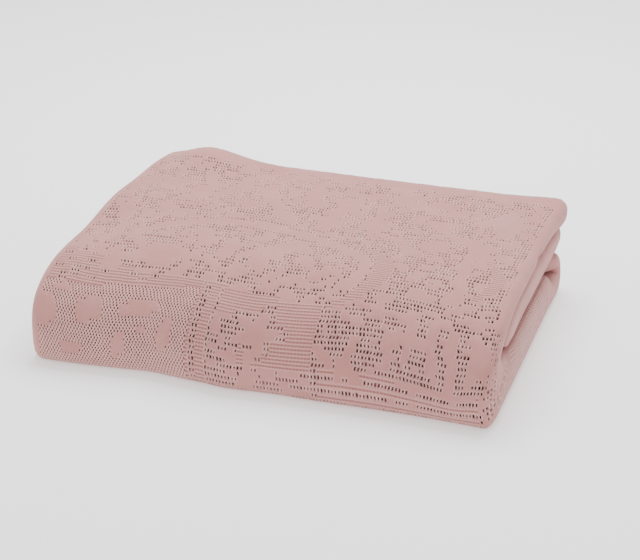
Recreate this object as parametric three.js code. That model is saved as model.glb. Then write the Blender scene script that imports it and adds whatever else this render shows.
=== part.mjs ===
// Folded blanket: one length of openwork woven cotton cloth.
// All lengths are in millimetres. +X runs along the pile, -Y is its folded front and +Z is up.
//
// The cloth is folded in half twice along X. That gives a pile of four layers, in which the right end
// is one closed roll and the left end wraps the cloth's first edge. The pile is then folded in quarters
// along Y, so the finished stack holds sixteen layers.
import * as THREE from "three";

// The usual height of the stack's top face
const HEIGHT = 95;

// The cloth, the space between the piles, and how thin the cloth gets at its hems
const CLOTH = 2.7;
const PILE_LAYERS = 4;
const PILE_GAP = 2.4;
const HEM_THINNING = 0.62;

// The narrow slit between the upper and the lower half, open at the back
const SLIT_Z = 45.5;
const SLIT_RADIUS = 1.6;
const SLIT_FRONT_Y = -96;
const SLIT_LOWER_Y = -88;
// The layers go round the slit's front edge between these angles of the front roll
const SLIT_BEND = { fromAngle: 60, toAngle: 120 };
// On the bottom face the rulings stand upright from here back
const UPRIGHT_FROM_Y = -50;

// The most that a slanting ruling or a sharp bend may add to the cloth's thickness
const MOST_SLANT = 2.2;
const MOST_MITRE = 1.3;
// Half the angle over which the slope of the front roll is measured
const SLOPE_ANGLE = 2;

// The front roll, where the skin passes from the top face to the bottom face
const ROLL = { topY: -58, frontY: -170, noseZ: 24, bottomY: -157, squareBelow: 2.8 };

// The hem at the top of the back, and the axis of the back fold below it
const HEM_Y = 161;
const TURN_Y = 136;

// Share of each half's height that the outer pile takes, from the top face round to the bottom face.
// The share for the front holds between the two angles.
const OUTER_SHARE = { top: 0.46, front: 0.5, bottom: 0.55, frontFromAngle: 80, frontToAngle: 90 };
// At the right end the top pile lies flatter towards the front and stands fuller at the back
const RIGHT_SHARE = { front: 0.37, back: 0.5, fromX: 110, toX: 205, fromY: 55, toY: 150 };

// The right roll of each pile: how far in from its tip the cloth bends, how square the bend is, and
// how far in the roll that it wraps lies
const ROLLS = {
  outer: { bendX: 7, innerBendX: 5, nesting: 7, square: 2.6 },
  inner: { bendX: 9, innerBendX: 5, nesting: 7, square: 2.9 },
};
// The plain run kept free before each bend
const BEND_MARGIN = 4;
// The tips of the right rolls. The outer one grows between two angles of the front roll, and the hem
// corner flares.
const TIP_X = { top: 224, bottom: 227.5, inner: 223.5, growsFromAngle: 40, growsToAngle: 150 };
const HEM_FLARE = { x: 4.5, fromY: 100, endsAtAngle: 20 };

// The outer roll swells over the end of the inner pile, round the front and along the bottom. Up to
// the tucked share of this change the inner pile draws in, and after it the outer one swells.
const SWELL = { fromAngle: 34, toAngle: 82, backFromY: 78, backToY: 135, tuckedShare: 0.45 };
const SWELL_ROOM = { fromX: 203, toX: 216, tuckedTipX: 198, clearance: 2.2 };

// The left end: a roll that wraps the cloth's first edge, and the last edge lying free below it
const LEFT = { tipX: -229.5, bendX: 7, firstEdgeX: -199, lastEdgeX: -223, square: 2.2 };

// Rounded corners of the stack in plan, as quarter ellipses, and how far in from the ends they reach
const PLAN_CORNERS = {
  rightFront: { x: 6, y: 26 },
  leftFront: { x: 9, y: 24 },
  rightBack: { x: 4, y: 14 },
  leftBack: { x: 14, y: 60 },
  reachX: 70,
};

// Soft swells and sags of the top face; each is a bump of the given height and spread
const TOP_BUMPS = [
  { x: -172, y: 182, height: 14.5, spreadX: 46, spreadY: 60 },
  { x: -235, y: -60, height: -8, spreadX: 55, spreadY: 58 },
  { x: -120, y: 40, height: 1.6, spreadX: 60, spreadY: 70 },
  { x: -218, y: 25, height: 3, spreadX: 42, spreadY: 45 },
  { x: 60, y: 60, height: -1.2, spreadX: 80, spreadY: 80 },
  { x: 40, y: -70, height: 1.5, spreadX: 70, spreadY: 40 },
  { x: 190, y: -100, height: -4, spreadX: 50, spreadY: 50 },
  { x: 214, y: 172, height: 2.5, spreadX: 32, spreadY: 34 },
];

// Uneven swells of the folded front, outwards where negative, and where they fade in towards it
const FRONT_FADE = { fromY: -40, toY: -150 };
const FRONT_BUMPS = [
  { x: -205, push: -5, spread: 50 },
  { x: -107, push: 3.5, spread: 28 },
  { x: -24, push: -3.5, spread: 26 },
  { x: 150, push: 2.5, spread: 60 },
];

// How finely the cloth is laid out
const STEPS = {
  skinShares: [0.02, 0.09, 0.17, 0.28, 0.44, 0.62, 0.8, 0.94],
  hiddenShares: [0.2, 0.5, 0.8, 0.982],
  bigBend: 8,
  smallBend: 5,
  leftBend: 6,
};
const TOP_Y = [161, 159.6, 146, 118, 88, 55, 20, -20, -58];
const ROLL_ANGLES = [16, 32, 44, 54, 64, 74, 86, 98, 112, 128, 146, 163, 180];
const BOTTOM_Y = [-120, -85, -50, 15, 78, 96, 111, 124, 136];
const TURN_STEPS = 8;
const INNER_ANGLES = [180, 156, 132, 112, 96, 80, 66, 56, 46, 36, 18];
const INNER_TOP_Y = [-58, -20, 30, 75, 112, 140, 150.8, 152];

const smooth = (value, low, high) => {
  const t = Math.min(1, Math.max(0, (value - low) / (high - low)));
  return t * t * (3 - 2 * t);
};
const mix = (a, b, t) => a + (b - a) * t;
const bell = (d, spread) => Math.exp(-(d * d) / (spread * spread));
const radians = THREE.MathUtils.degToRad;
// A sine or cosine bent so that its curve is a round one at ROUND and squarer above it
const ROUND = 2;
const power = (value, square) => Math.sign(value) * Math.abs(value) ** (ROUND / square);

// The height of the top face and the push of the front at a place in plan
function topHeight(x, y) {
  return TOP_BUMPS.reduce(
    (z, b) => z + b.height * bell(x - b.x, b.spreadX) * bell(y - b.y, b.spreadY),
    HEIGHT,
  );
}

function frontPush(x) {
  return FRONT_BUMPS.reduce((push, b) => push + b.push * bell(x - b.x, b.spread), 0);
}

// How far a rounded plan corner draws the end of the stack inwards at y
function cornerInset(y, front, back) {
  const frontStart = ROLL.frontY + front.y;
  const backStart = HEM_Y - back.y;
  const atFront = Math.min(1, Math.max(0, (frontStart - y) / front.y));
  const atBack = Math.min(1, Math.max(0, (y - backStart) / back.y));
  const frontInset = front.x * (1 - Math.sqrt(1 - atFront * atFront));
  return frontInset + back.x * (1 - Math.sqrt(1 - atBack * atBack));
}

// A ruling is the straight line from the skin of the stack in to the slit.
// Every layer crosses it at its own depth. angle is 0 on the top face, 180 on the bottom face.
function topRuling(y) {
  return { skin: [y, HEIGHT], core: [y, SLIT_Z + SLIT_RADIUS], angle: 0, slant: [1, 1] };
}

function rollPoints(angle) {
  const s = Math.sin(radians(angle));
  const c = Math.cos(radians(angle));
  const isAbove = angle < 90;
  const square = isAbove ? ROUND : ROLL.squareBelow;
  const startY = isAbove ? ROLL.topY : ROLL.bottomY;
  const reachZ = isAbove ? HEIGHT - ROLL.noseZ : ROLL.noseZ;
  const skin = [mix(startY, ROLL.frontY, power(s, square)), ROLL.noseZ + reachZ * power(c, square)];
  const { fromAngle, toAngle } = SLIT_BEND;
  const bend = Math.PI * Math.min(1, Math.max(0, (angle - fromAngle) / (toAngle - fromAngle)));
  const before = 1 - Math.min(1, s / Math.sin(radians(fromAngle)));
  const straightY = mix(SLIT_FRONT_Y, isAbove ? ROLL.topY : SLIT_LOWER_Y, before);
  const coreY = straightY - SLIT_RADIUS * Math.sin(bend);
  const coreZ = SLIT_Z + SLIT_RADIUS * Math.cos(bend);
  return { skin, core: [coreY, coreZ] };
}

// How much longer a way through the cloth is along the ruling than square to the layers
function slantAgainst(before, after, ruling) {
  const along = [after[0] - before[0], after[1] - before[1]];
  const across = [ruling.core[0] - ruling.skin[0], ruling.core[1] - ruling.skin[1]];
  const cross = Math.abs(along[0] * across[1] - along[1] * across[0]);
  return Math.min(MOST_SLANT, (Math.hypot(...along) * Math.hypot(...across)) / cross);
}

function rollRuling(angle) {
  const ruling = { ...rollPoints(angle), angle };
  const before = rollPoints(angle - SLOPE_ANGLE);
  const after = rollPoints(Math.min(180, angle + SLOPE_ANGLE));
  const slant = [slantAgainst(before.skin, after.skin, ruling), slantAgainst(before.core, after.core, ruling)];
  return { ...ruling, slant };
}

function bottomRuling(y) {
  const share = Math.max(0, (UPRIGHT_FROM_Y - y) / (UPRIGHT_FROM_Y - ROLL.bottomY));
  const coreY = share > 0 ? mix(UPRIGHT_FROM_Y, SLIT_LOWER_Y, share) : y;
  const slant = Math.hypot(coreY - y, SLIT_Z - SLIT_RADIUS) / (SLIT_Z - SLIT_RADIUS);
  return { skin: [y, 0], core: [coreY, SLIT_Z - SLIT_RADIUS], angle: 180, slant: [slant, slant] };
}

// The share of the ruling that belongs to the outer pile
function outerShare(ruling, x) {
  const { angle, skin } = ruling;
  const { top, front, bottom, frontFromAngle, frontToAngle } = OUTER_SHARE;
  const right = mix(RIGHT_SHARE.front, RIGHT_SHARE.back, smooth(skin[0], RIGHT_SHARE.fromY, RIGHT_SHARE.toY));
  const above = mix(top, right, smooth(x, RIGHT_SHARE.fromX, RIGHT_SHARE.toX));
  const share = mix(above, front, smooth(angle, 0, frontFromAngle));
  return mix(share, bottom, smooth(angle, frontToAngle, 180));
}

// 0 where the rolls of both piles show, 1 where the outer one covers the inner
function cover(ruling) {
  const start = smooth(ruling.angle, SWELL.fromAngle, SWELL.toAngle);
  const end = ruling.angle < 180 ? 0 : smooth(ruling.skin[0], SWELL.backFromY, SWELL.backToY);
  return start * (1 - end);
}

function rulingLength({ skin, core }) {
  return Math.hypot(core[0] - skin[0], core[1] - skin[1]);
}

// The depth of layer index (0 is the outermost of a pile) under the skin along a ruling
function layerDepth(ruling, x, index, isOuter) {
  const length = rulingLength(ruling);
  const [skinSlant, coreSlant] = ruling.slant;
  const face = outerShare(ruling, x) * length;
  const fromFace = ((CLOTH + PILE_GAP) / 2) * mix(skinSlant, coreSlant, face / length);
  const step = index / (PILE_LAYERS - 1);
  if (!isOuter) {
    const deepest = length - (CLOTH / 2) * coreSlant;
    return mix(deepest, face + fromFace, step);
  }
  const first = (CLOTH / 2) * skinSlant;
  const swelled = smooth(cover(ruling), SWELL.tuckedShare, 1) * smooth(x, SWELL_ROOM.fromX, SWELL_ROOM.toX);
  const last = mix(face - fromFace, length - SWELL_ROOM.clearance - (CLOTH / 2) * coreSlant, swelled);
  return mix(first, last, step);
}

// The middle line of the four-layer section: {x, index} from the first edge to the last edge.
// tip is where the right roll ends and left is where the left roll ends.
function sectionLine(tip, left, roll) {
  const line = [];
  const add = (x, index) => line.push({ x, index });
  // Half a turn at the tip from one layer to another. reach is negative at the left end.
  const bend = (tipX, reach, fromLayer, toLayer, steps, square) => {
    const middle = (fromLayer + toLayer) / 2;
    const half = (toLayer - fromLayer) / 2;
    for (let i = 0; i <= steps; i += 1) {
      const a = (Math.PI * i) / steps;
      add(tipX - reach * (1 - power(Math.sin(a), square)), middle - half * power(Math.cos(a), square));
    }
  };
  const innerTip = tip - roll.nesting;
  const start = left + LEFT.bendX + BEND_MARGIN;
  const end = innerTip - roll.innerBendX - BEND_MARGIN;
  const hidden = STEPS.hiddenShares.map((share) => mix(start, end, share));
  add(LEFT.firstEdgeX, 1);
  hidden.forEach((x) => add(x, 1));
  bend(innerTip, roll.innerBendX, 1, 2, STEPS.smallBend, ROUND);
  [...hidden].reverse().forEach((x) => add(x, 2));
  bend(left, -LEFT.bendX, 2, 0, STEPS.leftBend, LEFT.square);
  STEPS.skinShares.forEach((share) => add(mix(start, end, share), 0));
  bend(tip, roll.bendX, 0, 3, STEPS.bigBend, roll.square);
  [...hidden].reverse().forEach((x) => add(x, 3));
  add(LEFT.lastEdgeX + CLOTH / 2, 3);
  return line;
}

// Turns a middle line in (x, depth) into the closed outline of the cloth's thickness.
// side is 1 where depth runs in from the skin and -1 after the back turn, where the pile lies reversed.
// slantAt gives how much of the ruling one unit of thickness takes up at a depth.
function thicken(line, thickness, side, slantAt) {
  const half = thickness / 2;
  const ways = line.slice(1).map((point, i) => {
    const dx = point.x - line[i].x;
    const dd = (point.depth - line[i].depth) / slantAt(point.depth);
    return { x: dx / Math.hypot(dx, dd), depth: dd / Math.hypot(dx, dd) };
  });
  const along = line.map((_, i) => {
    const before = ways[Math.max(0, i - 1)];
    const after = ways[Math.min(ways.length - 1, i)];
    const sum = { x: before.x + after.x, depth: before.depth + after.depth };
    const size = Math.hypot(sum.x, sum.depth);
    return { x: sum.x / size, depth: sum.depth / size, mitre: Math.min(MOST_MITRE, 2 / size) };
  });
  const moved = (i, x, depth) => ({
    x: line[i].x + x * half * along[i].mitre,
    depth: line[i].depth + depth * half * along[i].mitre * slantAt(line[i].depth),
  });
  const shifted = (i, way) => moved(i, -along[i].depth * way, along[i].x * way);
  const rounded = (i, way) => moved(i, along[i].x * way, along[i].depth * way);
  const one = line.map((_, i) => shifted(i, side));
  const other = line.map((_, i) => shifted(i, -side)).reverse();
  return [...one, rounded(line.length - 1, 1), ...other, rounded(0, -1)];
}

// One station: the ruling it lies on, which pile it belongs to and, on the back turn, how far it has turned
function stationOutline(station) {
  const { ruling, isOuter, turned = null, thickness = CLOTH } = station;
  const [y] = ruling.skin;
  const tucked = smooth(cover(ruling), 0, SWELL.tuckedShare);
  const left = LEFT.tipX + CLOTH / 2;
  const flare = HEM_FLARE.x * smooth(y, HEM_FLARE.fromY, HEM_Y);
  const grown = smooth(ruling.angle, TIP_X.growsFromAngle, TIP_X.growsToAngle);
  const hemTip = TIP_X.top + flare * (1 - smooth(ruling.angle, 0, HEM_FLARE.endsAtAngle));
  const outerTip = mix(hemTip, TIP_X.bottom, grown);
  const innerTip = mix(TIP_X.inner, SWELL_ROOM.tuckedTipX, tucked);
  const tip = mix(outerTip, innerTip, turned ?? (isOuter ? 0 : 1)) - CLOTH / 2;
  const roll = isOuter ? ROLLS.outer : ROLLS.inner;
  const line = sectionLine(tip, left, roll).map(({ x, index }) => {
    if (turned === null) {
      return { x, depth: layerDepth(ruling, x, index, isOuter) };
    }
    const face = outerShare(ruling, x) * (ruling.core[1] - ruling.skin[1]);
    const start = face - layerDepth(ruling, x, index, true);
    const end = layerDepth(ruling, x, index, false) - face;
    return { x, depth: mix(start, end, turned) };
  });
  const side = isOuter && turned === null ? 1 : -1;
  const slantAt = (depth) => {
    return turned === null ? mix(...ruling.slant, depth / rulingLength(ruling)) : 1;
  };
  return thicken(line, thickness, side, slantAt).map(({ x, depth }) => place(ruling, x, depth, turned));
}

// The real place of a point at a depth along a ruling, or at a radius about the back turn's axis
function place(ruling, x, depth, turned) {
  const { skin, core } = ruling;
  let y;
  let z;
  if (turned === null) {
    const share = depth / rulingLength(ruling);
    y = mix(skin[0], core[0], share);
    z = mix(skin[1], core[1], share);
  } else {
    const angle = Math.PI * turned;
    y = TURN_Y + depth * Math.sin(angle);
    z = outerShare(ruling, x) * core[1] - depth * Math.cos(angle);
  }
  return settle(x, y, z);
}

// The uneven set of the real stack, which leaves the underside flat
function settle(x, y, z) {
  const lift = topHeight(x, y) / HEIGHT;
  const push = frontPush(x) * smooth(-y, -FRONT_FADE.fromY, -FRONT_FADE.toY);
  const { rightFront, rightBack, leftFront, leftBack, reachX } = PLAN_CORNERS;
  const drawnLeft = cornerInset(y, rightFront, rightBack) * smooth(x, TIP_X.top - reachX, TIP_X.top);
  const drawnRight = cornerInset(y, leftFront, leftBack) * smooth(-x, -LEFT.tipX - reachX, -LEFT.tipX);
  return [x - drawnLeft + drawnRight, y + push, z * mix(1, lift, smooth(z, 0, HEIGHT))];
}

// The stations in the order in which the pile runs: top, front, bottom, back turn, and back inside
function stations() {
  const list = [];
  TOP_Y.forEach((y, i) => {
    const thickness = i === 0 ? CLOTH * HEM_THINNING : CLOTH;
    list.push({ ruling: topRuling(y), isOuter: true, thickness });
  });
  ROLL_ANGLES.forEach((angle) => list.push({ ruling: rollRuling(angle), isOuter: true }));
  BOTTOM_Y.forEach((y) => list.push({ ruling: bottomRuling(y), isOuter: true }));
  const last = bottomRuling(TURN_Y);
  for (let i = 1; i < TURN_STEPS; i += 1) {
    list.push({ ruling: last, isOuter: i < TURN_STEPS / 2, turned: i / TURN_STEPS });
  }
  [...BOTTOM_Y].reverse().forEach((y) => list.push({ ruling: bottomRuling(y), isOuter: false }));
  INNER_ANGLES.forEach((angle) => list.push({ ruling: rollRuling(angle), isOuter: false }));
  INNER_TOP_Y.forEach((y, i) => {
    const thickness = i === INNER_TOP_Y.length - 1 ? CLOTH * HEM_THINNING : CLOTH;
    list.push({ ruling: topRuling(y), isOuter: false, thickness });
  });
  return list;
}

// Joins the outlines into one closed skin, with a flat end at each hem.
// The second half of an outline is the cloth's far face, and its quads split along the same diagonals.
function sweep(outlines) {
  const size = outlines[0].length;
  const positions = outlines.flat(2);
  const index = [];
  for (let s = 0; s + 1 < outlines.length; s += 1) {
    for (let i = 0; i < size; i += 1) {
      const a = s * size + i;
      const b = s * size + ((i + 1) % size);
      const isFarFace = i >= size / 2;
      const corners = isFarFace ? [a, b, a + size, b, b + size, a + size] : [a, b, b + size, a, b + size, a + size];
      index.push(...corners);
    }
  }
  [0, outlines.length - 1].forEach((s) => {
    const flat = outlines[s].map((p) => new THREE.Vector2(p[0], p[2]));
    THREE.ShapeUtils.triangulateShape(flat, []).forEach(([a, b, c]) => {
      index.push(a + s * size, c + s * size, b + s * size);
    });
  });
  const geometry = new THREE.BufferGeometry();
  geometry.setAttribute("position", new THREE.Float32BufferAttribute(positions, 3));
  geometry.setIndex(index);
  geometry.computeVertexNormals();
  return geometry;
}

const geometry = sweep(stations().map(stationOutline));
geometry.computeBoundingBox();
const middle = geometry.boundingBox.getCenter(new THREE.Vector3());
geometry.translate(-middle.x, -middle.y, -geometry.boundingBox.min.z);

const cotton = new THREE.MeshStandardMaterial({ color: "#c9a7a1", roughness: 0.95, metalness: 0 });
const blanket = new THREE.Mesh(geometry, cotton);
blanket.name = "blanket";

const group = new THREE.Group();
group.name = "folded_blanket";
group.add(blanket);

export default group;
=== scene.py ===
# %% [markdown]
# # A folded openwork blanket
#
# The real object is one length of cotton cloth, woven with rows of small eyelets round plain
# leaves, scrolls and borders. It is folded in half twice one way and in quarters the other way, so
# sixteen layers lie in the stack. This lesson builds it the same way round: first the flat cloth
# with its weave and its real holes, then the folding. The collision model of the same stack is
# loaded first, and the cloth is laid on its folds.

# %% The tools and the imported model
import math

import bmesh
import bpy
import numpy as np
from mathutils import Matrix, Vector


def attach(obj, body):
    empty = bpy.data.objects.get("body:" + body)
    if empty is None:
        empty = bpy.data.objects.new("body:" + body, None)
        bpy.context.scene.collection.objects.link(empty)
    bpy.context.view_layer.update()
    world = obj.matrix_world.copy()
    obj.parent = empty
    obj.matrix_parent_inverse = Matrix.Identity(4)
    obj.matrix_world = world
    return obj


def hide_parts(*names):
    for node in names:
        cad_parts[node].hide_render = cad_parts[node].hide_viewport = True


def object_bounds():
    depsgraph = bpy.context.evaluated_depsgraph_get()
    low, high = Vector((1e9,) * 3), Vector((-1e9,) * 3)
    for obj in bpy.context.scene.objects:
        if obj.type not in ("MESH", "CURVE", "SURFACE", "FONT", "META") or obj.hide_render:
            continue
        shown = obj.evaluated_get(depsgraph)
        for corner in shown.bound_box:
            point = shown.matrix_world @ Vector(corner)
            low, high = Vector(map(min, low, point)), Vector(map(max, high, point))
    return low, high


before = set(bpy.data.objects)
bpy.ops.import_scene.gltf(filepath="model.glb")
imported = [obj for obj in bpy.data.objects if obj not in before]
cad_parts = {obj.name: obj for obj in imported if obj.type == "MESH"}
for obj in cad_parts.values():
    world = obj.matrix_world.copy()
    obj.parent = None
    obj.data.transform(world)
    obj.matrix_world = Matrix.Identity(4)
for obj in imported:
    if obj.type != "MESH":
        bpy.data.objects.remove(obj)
cad_low, cad_high = [tuple(corner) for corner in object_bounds()]
print("nodes:", sorted(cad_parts), "from", cad_low, "to", cad_high)

# %% [markdown]
# ## The sizes of the stack
#
# The stack was measured once, in millimetres, with +X along its longest side and the folded front
# towards -Y. A stack of cloth is soft, so its top swells and sags a little, its front waves and its
# corners are round. Each of these has its own small table.

# %% Sizes of the stack and of the cloth
MM = 0.001
HEIGHT = 95.0
CLOTH = 2.7
PILE_LAYERS = 4
PILE_GAP = 2.4
SECOND_GAP = 0.3
SLIT = {"z": 45.5, "radius": 1.6, "front_y": -96.0, "lower_y": -88.0, "upright_from_y": -50.0}
SLIT_BEND = {"from": 60.0, "to": 120.0}
FRONT = {"top_y": -58.0, "y": -170.0, "nose_z": 24.0, "bottom_y": -157.0, "square_below": 2.8}
HEM_Y = 161.0
INNER_END_Y = 152.0
TURN_Y = 136.0
MOST_SLANT = 2.2

# The share of each half's height that the outer pile takes
SHARE = {"top": 0.46, "front": 0.5, "bottom": 0.55, "front_from": 80.0, "front_to": 90.0}
RIGHT_SHARE = {"front": 0.37, "back": 0.5}
RIGHT_REACH = {"from_x": 110.0, "to_x": 205.0, "from_y": 55.0, "to_y": 150.0}

# The rolls at the right end: bend, inner bend and nesting are lengths, square says how boxy
OUTER_ROLL = {"bend": 7.0, "inner": 5.0, "nesting": 7.0, "square": 2.6}
INNER_ROLL = {"bend": 9.0, "inner": 5.0, "nesting": 7.0, "square": 2.9}
TIP = {"top": 224.0, "bottom": 227.5, "inner": 223.5, "from": 40.0, "to": 150.0}
FLARE = {"x": 4.5, "from_y": 100.0, "until": 20.0}
SWELL = {"from": 34.0, "to": 82.0, "back_from": 78.0, "back_to": 135.0, "tucked": 0.45}
ROOM = {"from_x": 203.0, "to_x": 216.0, "tip": 198.0, "clearance": 2.2}
LEFT = {"tip": -229.5, "bend": 7.0, "first": -199.0, "last": -223.0, "square": 2.2}

# Round corners in plan: how far each draws in along x and y
CORNERS = {
    "right_front": (6, 26),
    "left_front": (9, 24),
    "right_back": (4, 14),
    "left_back": (14, 60),
}
CORNER_REACH = 70.0

# %% Tables of the uneven set: x, y, height, spread in x, spread in y
TOP_SWELLS = [
    (-172, 182, 14.5, 46, 60),
    (-235, -60, -8.0, 55, 58),
    (-120, 40, 1.6, 60, 70),
    (-218, 25, 3.0, 42, 45),
    (60, 60, -1.2, 80, 80),
    (40, -70, 1.5, 70, 40),
    (190, -100, -4.0, 50, 50),
    (214, 172, 2.5, 32, 34),
]
# x, push along y, spread
FRONT_WAVES = [(-205, -5.0, 50), (-107, 3.5, 28), (-24, -3.5, 26), (150, 2.5, 60)]
FRONT_FADE = (40.0, 150.0)

# %% [markdown]
# ## Small curves
#
# Four short functions carry all the shapes: a soft step, a straight mix, a bell for every swell,
# and a bent sine that turns a round bend into a boxy one.

# %% Curve helpers
def soft(value, low, high):
    """A step from 0 to 1 between low and high with soft ends."""
    t = np.clip((value - low) / (high - low), 0, 1)
    return t * t * (3 - 2 * t)


def mix(a, b, t):
    return a + (b - a) * t


def bell(distance, spread):
    return np.exp(-((distance / spread) ** 2))


def boxy(value, square):
    return np.sign(value) * np.abs(value) ** (2 / square)


# %% [markdown]
# ## Rulings
#
# Cut the stack across and look at the cut: every layer runs over the top, round the front and back
# along the bottom. A ruling is a straight line from the skin of the stack in to the slit in its
# middle, and every layer crosses it at its own depth. So a place in the stack is a ruling, a depth
# on it and an x.

# %% Rulings from the skin to the slit
def front_points(angle):
    """Skin and core of the ruling at an angle of the front roll, as (y, z)."""
    s, c = math.sin(math.radians(angle)), math.cos(math.radians(angle))
    above = angle < 90
    square = 2 if above else FRONT["square_below"]
    start = FRONT["top_y"] if above else FRONT["bottom_y"]
    reach = HEIGHT - FRONT["nose_z"] if above else FRONT["nose_z"]
    skin = (mix(start, FRONT["y"], boxy(s, square)), FRONT["nose_z"] + reach * boxy(c, square))
    turned = (angle - SLIT_BEND["from"]) / (SLIT_BEND["to"] - SLIT_BEND["from"])
    bend = math.pi * min(1, max(0, turned))
    before = 1 - min(1, s / math.sin(math.radians(SLIT_BEND["from"])))
    straight = mix(SLIT["front_y"], FRONT["top_y"] if above else SLIT["lower_y"], before)
    core = (straight - SLIT["radius"] * math.sin(bend), SLIT["z"] + SLIT["radius"] * math.cos(bend))
    return skin, core


def front_ruling(angle):
    """A ruling of the front roll, with how much its slant lengthens the way through the cloth."""
    skin, core = front_points(angle)
    before, after = front_points(angle - 2), front_points(min(180, angle + 2))
    across = np.subtract(core, skin)
    slants = []
    for end in (0, 1):
        along = np.subtract(after[end], before[end])
        cross = abs(along[0] * across[1] - along[1] * across[0])
        slants.append(min(MOST_SLANT, np.hypot(*along) * np.hypot(*across) / cross))
    return {"skin": skin, "core": core, "angle": angle, "slant": slants}


def top_ruling(y):
    floor = SLIT["z"] + SLIT["radius"]
    return {"skin": (y, HEIGHT), "core": (y, floor), "angle": 0, "slant": (1, 1)}


def bottom_ruling(y):
    upright, roof = SLIT["upright_from_y"], SLIT["z"] - SLIT["radius"]
    share = max(0, (upright - y) / (upright - FRONT["bottom_y"]))
    core_y = mix(upright, SLIT["lower_y"], share) if share > 0 else y
    slant = math.hypot(core_y - y, roof) / roof
    return {"skin": (y, 0), "core": (core_y, roof), "angle": 180, "slant": (slant, slant)}


def ruling_length(ruling):
    return math.hypot(ruling["core"][0] - ruling["skin"][0], ruling["core"][1] - ruling["skin"][1])


# %% [markdown]
# ## Depths of the layers
#
# Each half of the stack holds two piles of four layers. At the right end the outer pile swells over
# the end of the inner one, round the front and along the bottom, which is why the lower half looks
# like one thick roll in the photograph while the top shows two thin ones.

# %% Depths along a ruling
def outer_share(ruling, x):
    angle, y = ruling["angle"], ruling["skin"][0]
    side = soft(y, RIGHT_REACH["from_y"], RIGHT_REACH["to_y"])
    right = mix(RIGHT_SHARE["front"], RIGHT_SHARE["back"], side)
    above = mix(SHARE["top"], right, soft(x, RIGHT_REACH["from_x"], RIGHT_REACH["to_x"]))
    share = mix(above, SHARE["front"], soft(angle, 0, SHARE["front_from"]))
    return mix(share, SHARE["bottom"], soft(angle, SHARE["front_to"], 180))


def cover(ruling):
    """0 where both rolls show and 1 where the outer one covers the inner."""
    start = soft(ruling["angle"], SWELL["from"], SWELL["to"])
    if ruling["angle"] < 180:
        return start
    return start * (1 - soft(ruling["skin"][0], SWELL["back_from"], SWELL["back_to"]))


def layer_depth(ruling, x, index, outer):
    """Depth of a layer, where index 0 is the outermost of its pile."""
    length = ruling_length(ruling)
    skin_slant, core_slant = ruling["slant"]
    face = outer_share(ruling, x) * length
    from_face = (CLOTH + PILE_GAP) / 2 * mix(skin_slant, core_slant, face / length)
    deepest = length - CLOTH / 2 * core_slant
    step = index / (PILE_LAYERS - 1)
    if not outer:
        return mix(deepest, face + from_face, step)
    swelled = soft(cover(ruling), SWELL["tucked"], 1) * soft(x, ROOM["from_x"], ROOM["to_x"])
    first = CLOTH / 2 * skin_slant
    last = mix(face - from_face, deepest - ROOM["clearance"], swelled)
    depth = mix(first, last, step)
    against_skin = bell(index - 1, 0.5) * soft(-abs(x), -212, -190)
    return mix(depth, first + (CLOTH + SECOND_GAP) * skin_slant, against_skin)


# %% [markdown]
# ## One section of the pile
#
# Along X the cloth runs back and forth: in from its first edge, round the inner right bend, back,
# round the left end, along the skin, round the big right roll and back to its last edge. The table
# gives each stretch its length in weave cells, the number of mesh columns it gets, and a power that
# gathers those columns towards one end.

# %% The section table: name, cells, columns, gathering power
CELL_X, CELL_Y = 3.31, 5.5
HALF_SKIN = 66
SECTION = [
    ("first", 123, 8, 0.5),
    ("inner bend", 5, 6, 1),
    ("second", 130, 8, 2),
    ("left bend", 8, 8, 1),
    ("skin", 133, 133, 1),
    ("outer bend", 13, 13, 1),
    ("last", 132, 11, 2),
]


def lines_before(table, name):
    """Number of the line at which a stretch of a table starts."""
    names = [row[0] for row in table]
    return sum(row[2] for row in table[:names.index(name)])


def cells_before(table, name):
    """Number of weave cells that lie before a stretch of a table."""
    names = [row[0] for row in table]
    return sum(row[1] for row in table[:names.index(name)])


def section_columns():
    """The stretch and share of every column line, and its place across the cloth in cells."""
    columns, cells, done = [], [], 0
    for name, length, count, gather in SECTION:
        for k in range(count):
            share = (k / count) ** gather if gather >= 1 else 1 - (1 - k / count) ** (1 / gather)
            columns.append((name, share))
            cells.append(done + length * share)
        done += length
    columns.append((SECTION[-1][0], 1.0))
    cells.append(done)
    return columns, np.array(cells, float)


COLUMNS, COLUMN_CELLS = section_columns()
FIRST_SKIN, LAST_SKIN = lines_before(SECTION, "skin"), lines_before(SECTION, "last")
SKIN_CENTRE_CELL = cells_before(SECTION, "skin") + HALF_SKIN
print("column lines:", len(COLUMNS), "cloth width", round(COLUMN_CELLS[-1] * CELL_X * MM, 2), "m")


# %% Where each column lies on a station
def bend(share, tip, reach, low, high, square):
    """Half a turn at a tip, from layer low to layer high."""
    a = math.pi * share
    middle, half = (low + high) / 2, (high - low) / 2
    return tip - reach * (1 - boxy(math.sin(a), square)), middle - half * boxy(math.cos(a), square)


def section(tip, left, roll):
    """x and layer index of every column line."""
    inner_tip = tip - roll["nesting"]
    inner_x, left_x, right_x = inner_tip - roll["inner"], left + LEFT["bend"], tip - roll["bend"]
    places = {
        "first": lambda t: (mix(LEFT["first"], inner_x, t), 1),
        "inner bend": lambda t: bend(t, inner_tip, roll["inner"], 1, 2, 2),
        "second": lambda t: (mix(inner_x, left_x, t), 2),
        "left bend": lambda t: bend(t, left, -LEFT["bend"], 2, 0, LEFT["square"]),
        "skin": lambda t: (mix(left_x, right_x, t), 0),
        "outer bend": lambda t: bend(t, tip, roll["bend"], 0, 3, roll["square"]),
        "last": lambda t: (mix(right_x, LEFT["last"] + CLOTH / 2, t), 3),
    }
    x, index = zip(*[places[name](share) for name, share in COLUMNS])
    return np.array(x, float), np.array(index, float)


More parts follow.
